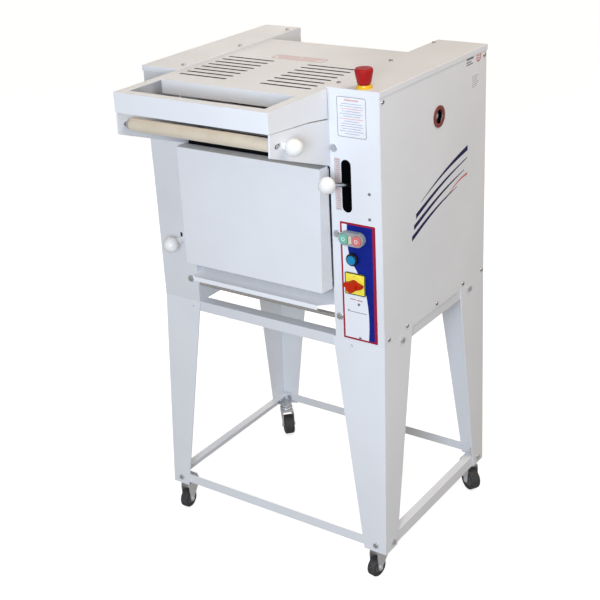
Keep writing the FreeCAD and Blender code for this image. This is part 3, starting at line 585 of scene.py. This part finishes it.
def side_decal():
    """Plain tapering stripes on the side panel."""
    def stripe(u0, v0, u1, v1, thick0, thick1, steps=16):
        """Outline of one stripe, bowed upwards between its ends."""
        upper, lower = [], []
        for k in range(steps + 1):
            t = k / steps
            u, v = u0 + (u1 - u0) * t, v0 + (v1 - v0) * t + 7.0 * math.sin(math.pi * t)
            half = (thick0 + (thick1 - thick0) * t) / 2
            upper.append((u, v + half))
            lower.append((u, v - half))
        return upper + lower[::-1]

    navy = bmesh.new()
    for values in ((-16, 868, 210, 930, 12, 1.0), (-6, 893, 246, 962, 12, 1.6),
                   (4, 918, 262, 989, 12, 2.2), (28, 946, 264, 1014, 1.0, 13)):
        plate(navy, stripe(*values), FILM, right)
    piece("decal_stripes", navy, "frame", "label", "ink_navy")
    red = plate(bmesh.new(), stripe(150, 916, 262, 948, 1.0, 6.0), FILM, right)
    piece("decal_accent", red, "frame", "label", "ink_red")


def side_stickers():
    """A round sign and two plain plates near the top rear corner of the side panel."""
    disc = rounded(305.0, 331.0, 1215.0, 1241.0, 13.0, 8)
    sticker("round_sticker", disc, right, "frame", "film_white")
    ring = band(bmesh.new(), rounded(306, 330, 1216, 1240, 12.0, 8),
                rounded(309.5, 326.5, 1219.5, 1236.5, 8.5, 8), 0.33, right)
    piece("round_sticker_ring", ring, "frame", "label", "ink_red")
    rows = [(312, 324, 1231, 2.4), (311, 325, 1225, 2.4)]
    print_lines("round_sticker_lines", rows, right, "frame", "ink_red")
    sticker("dark_plate", rounded(252, 294, 1215, 1238, 1.5, 3), right, "frame", "film_white")
    rows = [(254, 292, 1232, 5.0), (254, 280, 1224.5, 3.0), (254, 288, 1219, 3.0)]
    print_lines("dark_plate_print", rows, right, "frame", "ink_grey")
    sticker("rating_plate", rounded(279, 323, 1152, 1191, 1.5, 3), right, "frame", "film_white")
    rows = [(283, 319 - 5 * (k % 3), 1185 - 5.2 * k, 1.9) for k in range(6)]
    print_lines("rating_plate_print", rows, right, "frame", "ink_pale")


def hood_sticker():
    """Printed outline with plain bars on the hood's deck."""
    ink = 0.2
    outline = band(bmesh.new(), rounded(-90, 57, 46, 78, 4.0),
                   rounded(-88.4, 55.4, 47.6, 76.4, 3.2), ink, deck)
    piece("hood_outline", outline, "hood_body", "label", "ink_red")
    rows = [(-82, -20, 69, 3.0), (-12, 46, 69, 3.0), (-80, 40, 61, 2.2), (-74, 34, 54.5, 2.2)]
    print_lines("hood_print", rows, deck, "hood_body", "ink_pink", ink)


# ---------------------------------------------------------------- small hardware and dark fills of painted shade
def slot_shade():
    """Black channel behind the lever's slot: painted shade, so the slot looks dark inside."""
    def inner_face(u, v, d):
        return at(u, FRONT_Y + 2.4 + d, v)

    shell = band(bmesh.new(), rounded(226.5, 259.5, 958, 1093, 14.0),
                 rounded(228.5, 257.5, 960, 1091, 13.0), 74.0, inner_face)
    piece("lever_slot_shade", shell, "frame", "black_plastic", "painted_shade_black", crease=30.0)


def louvre_shade_edging():
    """Thin dark edging set into every louvre, in two banks of eight: painted shade that makes the slots look dark.
    """
    def inside(u, v, d):
        return deck(u, v, d - 1.8)

    length, width, pitch, play, thick = 138.0, 8.0, 27.0, 0.02, 0.4
    shell = bmesh.new()
    for x0 in (-197.0, 37.0):
        for k in range(8):
            y = -174.0 + pitch * k
            outer, inner = (rounded(x0 + gap, x0 + length - gap, y - width / 2 + gap, y + width / 2 - gap,
                                    width / 2 - gap - 0.01, 8) for gap in (play, thick))
            band(shell, outer, inner, 1.75, inside)
    piece("louvre_shade_edging", shell, "hood_body", "black_plastic", "painted_shade_black")


def hood_shade_liner():
    """Dark sheets hung under the two banks of louvres: painted shade for the inside seen through the slots."""
    def below(u, v, d):
        return deck(u, v, -9.0 - d)

    shell = bmesh.new()
    for u0 in (-203.0, 31.0):
        plate(shell, rounded(u0, u0 + 150, -186, 28, 6.0), 1.0, below, 0.2)
    piece("louvre_shade_liner", shell, "hood_body", "black_plastic", "painted_shade_black")


def motor_fins():
    """Cooling fins turned round the motor's body."""
    core, root, tip, long = 61.0, 62.2, 67.0, 180.0
    profile = [(0, 0), (0, core)]
    for k in range(17):
        x = 4 + k * 10.5
        profile += [(x, root), (x + 1.2, tip), (x + 3.4, tip), (x + 4.6, root)]
    profile += [(long, core), (long, 0)]
    shell = turned(bmesh.new(), profile, at(-70, 120, 760), (1, 0, 0), 64)
    piece("motor_fins", shell, "frame", "motor_grey")


def countershaft_end():
    """Washer and domed nut on the end of the countershaft, seen through the ring."""
    washer = [(0, 9.3), (0, 15.5), (1.6, 16.2), (2.6, 15.2), (2.6, 9.3)]
    nut = [(0, 11.5), (4.4, 11.5), (5.2, 10.6), (6.5, 10.0), (8.0, 7.4), (8.6, 3.8), (8.7, 0)]
    shell = turned(bmesh.new(), washer, at(319, 116, 1130), (1, 0, 0), 48)
    turned(shell, nut, at(321.6, 116, 1130), (1, 0, 0), 6)
    piece("countershaft_nut", shell, "driven_pulley_body", "polished_steel", crease=25.0)


def caster_detail(name, radius, width):
    """Ribbed hubs in the wheel's dishes and the swivel's ball race."""
    roll = JOINTS["roll_" + name]
    hub, axis = Vector(roll["pos_m"]), Vector(roll["axis"]).normalized()
    dish = [(0, radius - 10.3), (0.9, radius - 10.8), (1.5, radius - 12.2), (1.1, 11.5), (2.2, 10.6),
            (2.2, 9.2)]
    ribs = 5
    shell = bmesh.new()
    for sign in (-1, 1):
        lift = axis * sign
        face = hub + axis * sign * (width / 2 - 3.0) * MM
        turned(shell, dish, face, lift, 48)
        turn = lift.to_track_quat("Z", "Y").to_matrix()
        for k in range(ribs):
            a = 2 * math.pi * k / ribs
            out = turn @ Vector((math.cos(a), math.sin(a), 0))
            across = axis.cross(out)
            corners = []
            for r, half, high in ((10.5, 1.4, 2.3), (radius - 11.0, 1.0, 1.8)):
                middle = face + out * r * MM
                corners.append([middle + across * half * MM + lift * 0.9 * MM,
                                middle + across * half * 0.5 * MM + lift * high * MM,
                                middle - across * half * 0.5 * MM + lift * high * MM,
                                middle - across * half * MM + lift * 0.9 * MM])
            a_ring, b_ring = ([shell.verts.new(p) for p in ring] for ring in corners)
            walls(shell, a_ring, b_ring)
            shell.faces.new(a_ring)
            shell.faces.new(b_ring)
    piece("hub_" + name, shell, "wheel_" + name + "_body", "tyre", "hub_grey")
    swivel = Vector(JOINTS["swivel_" + name]["pos_m"])
    base = Vector((swivel.x, swivel.y, 0.0))
    race = [(75.4, 16.3), (75.9, 18.6), (77.4, 19.4), (78.2, 18.9), (79.0, 19.4), (80.4, 18.4), (81.2, 16.3)]
    shell = turned(bmesh.new(), race, base, (0, 0, 1), 48)
    piece("race_" + name, shell, "fork_" + name + "_body", "zinc")


def washers():
    """Plain washers under the hexagon heads of the front."""
    washer = [(0, 7.6), (0, 9.4), (0.9, 9.4), (1.3, 8.9), (1.3, 7.6)]
    shell = bmesh.new()
    for u, v in ((213, 1112), (213, 907), (213, 698), (-242, 704)):
        turned(shell, washer, front(u, v, 0), (0, -1, 0), 40)
    piece("front_washers", shell, "frame", "zinc")


def rear_hardware():
    """Screws of the rear panels and a vent grille behind the motor, with black painted shade in its openings."""
    screw = [(0, 5.4), (0.7, 5.4), (1.6, 4.6), (2.3, 3.0), (2.5, 1.6), (1.5, 1.2), (1.5, 0)]
    panel_y = (hi("back_panel").y - ORIGIN.y) / MM
    spots = [(x, REAR_Y, z) for x in (-322, -232, 210, 322) for z in (662, 860, 1050, 1232)]
    spots += [(x, panel_y, z) for x in (-205, -70, 60, 184) for z in (662, 1228)]
    shell = bmesh.new()
    for spot in spots:
        turned(shell, screw, at(*spot), (0, 1, 0), 24)
    piece("rear_screws", shell, "frame", "zinc", "screw_steel")
    rims, gaps = bmesh.new(), bmesh.new()
    for k in range(9):
        v = 742.0 + 9.0 * k
        band(rims, rounded(226, 306, v, v + 5.4, 2.6, 4),
             rounded(227.2, 304.8, v + 1.2, v + 4.2, 1.45, 4), 0.9, behind)
        plate(gaps, rounded(227.1, 304.9, v + 1.1, v + 4.3, 1.5, 4), 0.25, behind)
    piece("vent_rims", rims, "frame", "white_paint")
    # Painted shade: the black plates in the vent's openings stand in for the dark inside.
    piece("vent_gaps", gaps, "frame", "black_plastic", "painted_shade_black")


def throat_shade_plate():
    """Dark strip between the infeed belt and the top of the door: painted shade for the deep shadow in that gap.
    """
    def across(u, v, d):
        return front(u, v, d - 5.0)

    x0, x1 = X_INNER[0] + 6.5, X_INNER[1] - 5.5
    shell = plate(bmesh.new(), rounded(x0, x1, 1047.0, 1080.0, 2.0, 3), 1.6, across, 0.3)
    piece("throat_shade_plate", shell, "frame", "black_plastic", "painted_shade_black")


def door_gap_shade():
    """Black strip on the right cabinet's edge beside the door, narrower downwards: painted shade for the gap
    beside the door.
    """
    edge, top, bottom = X_INNER[1] + 0.1, 1066.0, 770.0
    outline = [(edge + 2.8, top), (edge, top), (edge, bottom), (edge + 0.8, bottom)]
    shell = plate(bmesh.new(), outline, 0.8, front)
    piece("door_gap_shade", shell, "frame", "black_plastic", "painted_shade_black")


def isolator_rim():
    """Black frame round the isolator's yellow plate."""
    def on_plate(u, v, d):
        return front(u, v, 4.6 + d)

    low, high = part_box("isolator_plate")
    u0, u1 = (low.x - ORIGIN.x) / MM, (high.x - ORIGIN.x) / MM
    v0, v1 = low.z / MM, high.z / MM
    outline = band(bmesh.new(), rounded(u0 - 0.3, u1 + 0.3, v0 - 0.3, v1 + 0.3, 2.2, 3),
                   rounded(u0 + 1.7, u1 - 1.7, v0 + 1.7, v1 - 1.7, 1.4, 3), 0.5, on_plate)
    piece("isolator_rim", outline, "frame", "black_plastic")


def label_print():
    """Plain bars under the isolator in place of writing."""
    def on_foil(u, v, d):
        return front(u, v, 0.6 + d)

    ink = 0.15
    rows = [(243, 259, 750, 2.2), (261, 277, 749, 2.2)]
    print_lines("label_bar", rows, on_foil, "frame", "ink_red", ink)
    rows = [(236, 288, 718, 1.5), (236, 240, 720.5, 3.4)]
    print_lines("label_rule", rows, on_foil, "frame", "ink_grey", ink)


def pilot_lamp():
    """Ribbed lens between the start and stop buttons."""
    u0, u1, v0, v1 = 253.8, 262.2, 895.5, 913.5
    ribs = 5
    shell = bmesh.new()
    for k in range(ribs):
        low = v0 + (v1 - v0) * k / ribs
        plate(shell, rounded(u0, u1, low + 0.2, low + 3.4, 0.8, 3), 17.6, front, 0.5)
    piece("pilot_lens", shell, "frame", "clear_grey_plastic", "lamp_amber")


def button_marks():
    """Plain ring moulded into each push button."""
    def square(u, v, half, r):
        return rounded(u - half, u + half, v - half, v + half, r, 6)

    for name, u, top in (("start", 240.0, 17.6), ("stop", 276.0, 19.6)):
        def on_button(p, q, d, top=top):
            return front(p, q, top + d)

        outline = band(bmesh.new(), square(u, 904.5, 4.6, 4.5), square(u, 904.5, 3.1, 3.0), 0.5, on_button)
        piece("mark_" + name, outline, "button_" + name + "_body", "white_plastic")


dress_cad_nodes()
felt_loop("infeed_felt", "infeed_belt",
          INFEED_AXES, INFEED_FELT_R, -203.0, 188.0)
felt_loop("moulding_felt", "moulding_belt",
          MOULDING_AXES, MOULDING_FELT_R, -210.0, 188.0)
warning_label()
gap_scale()
side_decal()
side_stickers()
hood_sticker()
slot_shade()
louvre_shade_edging()
hood_shade_liner()
motor_fins()
countershaft_end()
for caster, tread, thick in (("front_left", 26.0, 22.0), ("front_right", 26.0, 22.0),
                             ("rear_left", 30.0, 28.0), ("rear_right", 30.0, 28.0)):
    caster_detail(caster, tread, thick)
washers()
rear_hardware()
throat_shade_plate()
door_gap_shade()
isolator_rim()
label_print()
pilot_lamp()
button_marks()


# ---------------------------------------------------------------- stage
def compass(azimuth, elevation):
    """Unit vector from the machine's middle towards a viewing angle, in degrees."""
    a, e = math.radians(azimuth), math.radians(elevation)
    return Vector((math.sin(a) * math.cos(e), -math.cos(a) * math.cos(e), math.sin(e)))


def plain_surround():
    """Pale floor and a white backdrop; neither one throws light back on the machine."""
    r = 12.0  # metres from the machine to the edge of the floor
    floor_mesh = bpy.data.meshes.new("floor")
    floor_mesh.from_pydata([(-r, -r, 0), (r, -r, 0), (r, r, 0), (-r, r, 0)], [], [(0, 1, 2, 3)])
    dome_mesh = bpy.data.meshes.new("backdrop")
    shell = bmesh.new()
    bmesh.ops.create_uvsphere(shell, u_segments=48, v_segments=24, radius=r)
    shell.to_mesh(dome_mesh)
    shell.free()
    for name, mesh, glow in (("floor", floor_mesh, 0.62), ("backdrop", dome_mesh, 1.0)):
        pale = Shader("pale_" + name, (0.8, 0.8, 0.8), 0.9, Emission_Strength=glow)
        pale.set("Emission Color", (1.0, 1.0, 1.0, 1.0))
        mesh.materials.append(pale.material)
        obj = bpy.data.objects.new(name, mesh)
        bpy.context.scene.collection.objects.link(obj)
        obj.visible_diffuse = False
        obj.visible_glossy = False
        obj.visible_transmission = name == "floor"
        obj.visible_shadow = False


def studio():
    """Warm, even room light, brighter from above, and three soft lamps."""
    room = bpy.data.worlds.new("room")
    bpy.context.scene.world = room
    room.use_nodes = True
    tree = room.node_tree
    sky = tree.nodes["Background"]
    sky.inputs["Color"].default_value = (1.0, 0.955, 0.90, 1.0)
    way = tree.nodes.new("ShaderNodeTexCoord")
    split = tree.nodes.new("ShaderNodeSeparateXYZ")
    level = tree.nodes.new("ShaderNodeMapRange")
    tree.links.new(way.outputs["Generated"], split.inputs[0])
    tree.links.new(split.outputs["Z"], level.inputs["Value"])
    for key, value in (("From Min", -0.6), ("From Max", 0.8), ("To Min", 0.36), ("To Max", 0.505)):
        level.inputs[key].default_value = value
    tree.links.new(level.outputs[0], sky.inputs["Strength"])
    middle = (CAD_BOX[0] + CAD_BOX[1]) / 2
    lamps = [
        # azimuth, elevation, distance, size, watts, colour
        (27.0, 15.0, 2.7, 0.7, 49.0, (0.76, 0.86, 1.0)),
        (105.0, 58.0, 3.2, 1.6, 35.0, (1.0, 0.82, 0.62)),
        (222.0, 4.0, 3.4, 1.4, 15.0, (1.0, 0.95, 0.90)),
    ]
    for k, (azimuth, elevation, distance, size, watts, color) in enumerate(lamps):
        data = bpy.data.lights.new("lamp_%d" % k, "AREA")
        data.size = size
        data.energy = watts
        data.color = color
        lamp = bpy.data.objects.new("lamp_%d" % k, data)
        away = compass(azimuth, elevation)
        lamp.location = middle + Vector((0, 0, 0.25)) + away * distance
        lamp.rotation_euler = (-away).to_track_quat("-Z", "Y").to_euler()
        bpy.context.scene.collection.objects.link(lamp)


def camera():
    """Stands to the front right, a little above the machine, with a slight roll."""
    data = bpy.data.cameras.new("camera")
    data.sensor_width = 36.0
    data.lens = 71.16
    cam = bpy.data.objects.new("camera", data)
    bpy.context.scene.collection.objects.link(cam)
    back = compass(35.7, 24.1)
    roll = math.radians(-3.08)
    target = at(-86.0, 106.0, 574.0)
    cam.location = target + back * 3.214
    turn = (-back).to_track_quat("-Z", "Y").to_matrix() @ Matrix.Rotation(roll, 3, "Z")
    cam.rotation_euler = turn.to_euler()
    bpy.context.scene.camera = cam


plain_surround()
studio()
camera()
bpy.context.scene.view_settings.view_transform = "Standard"
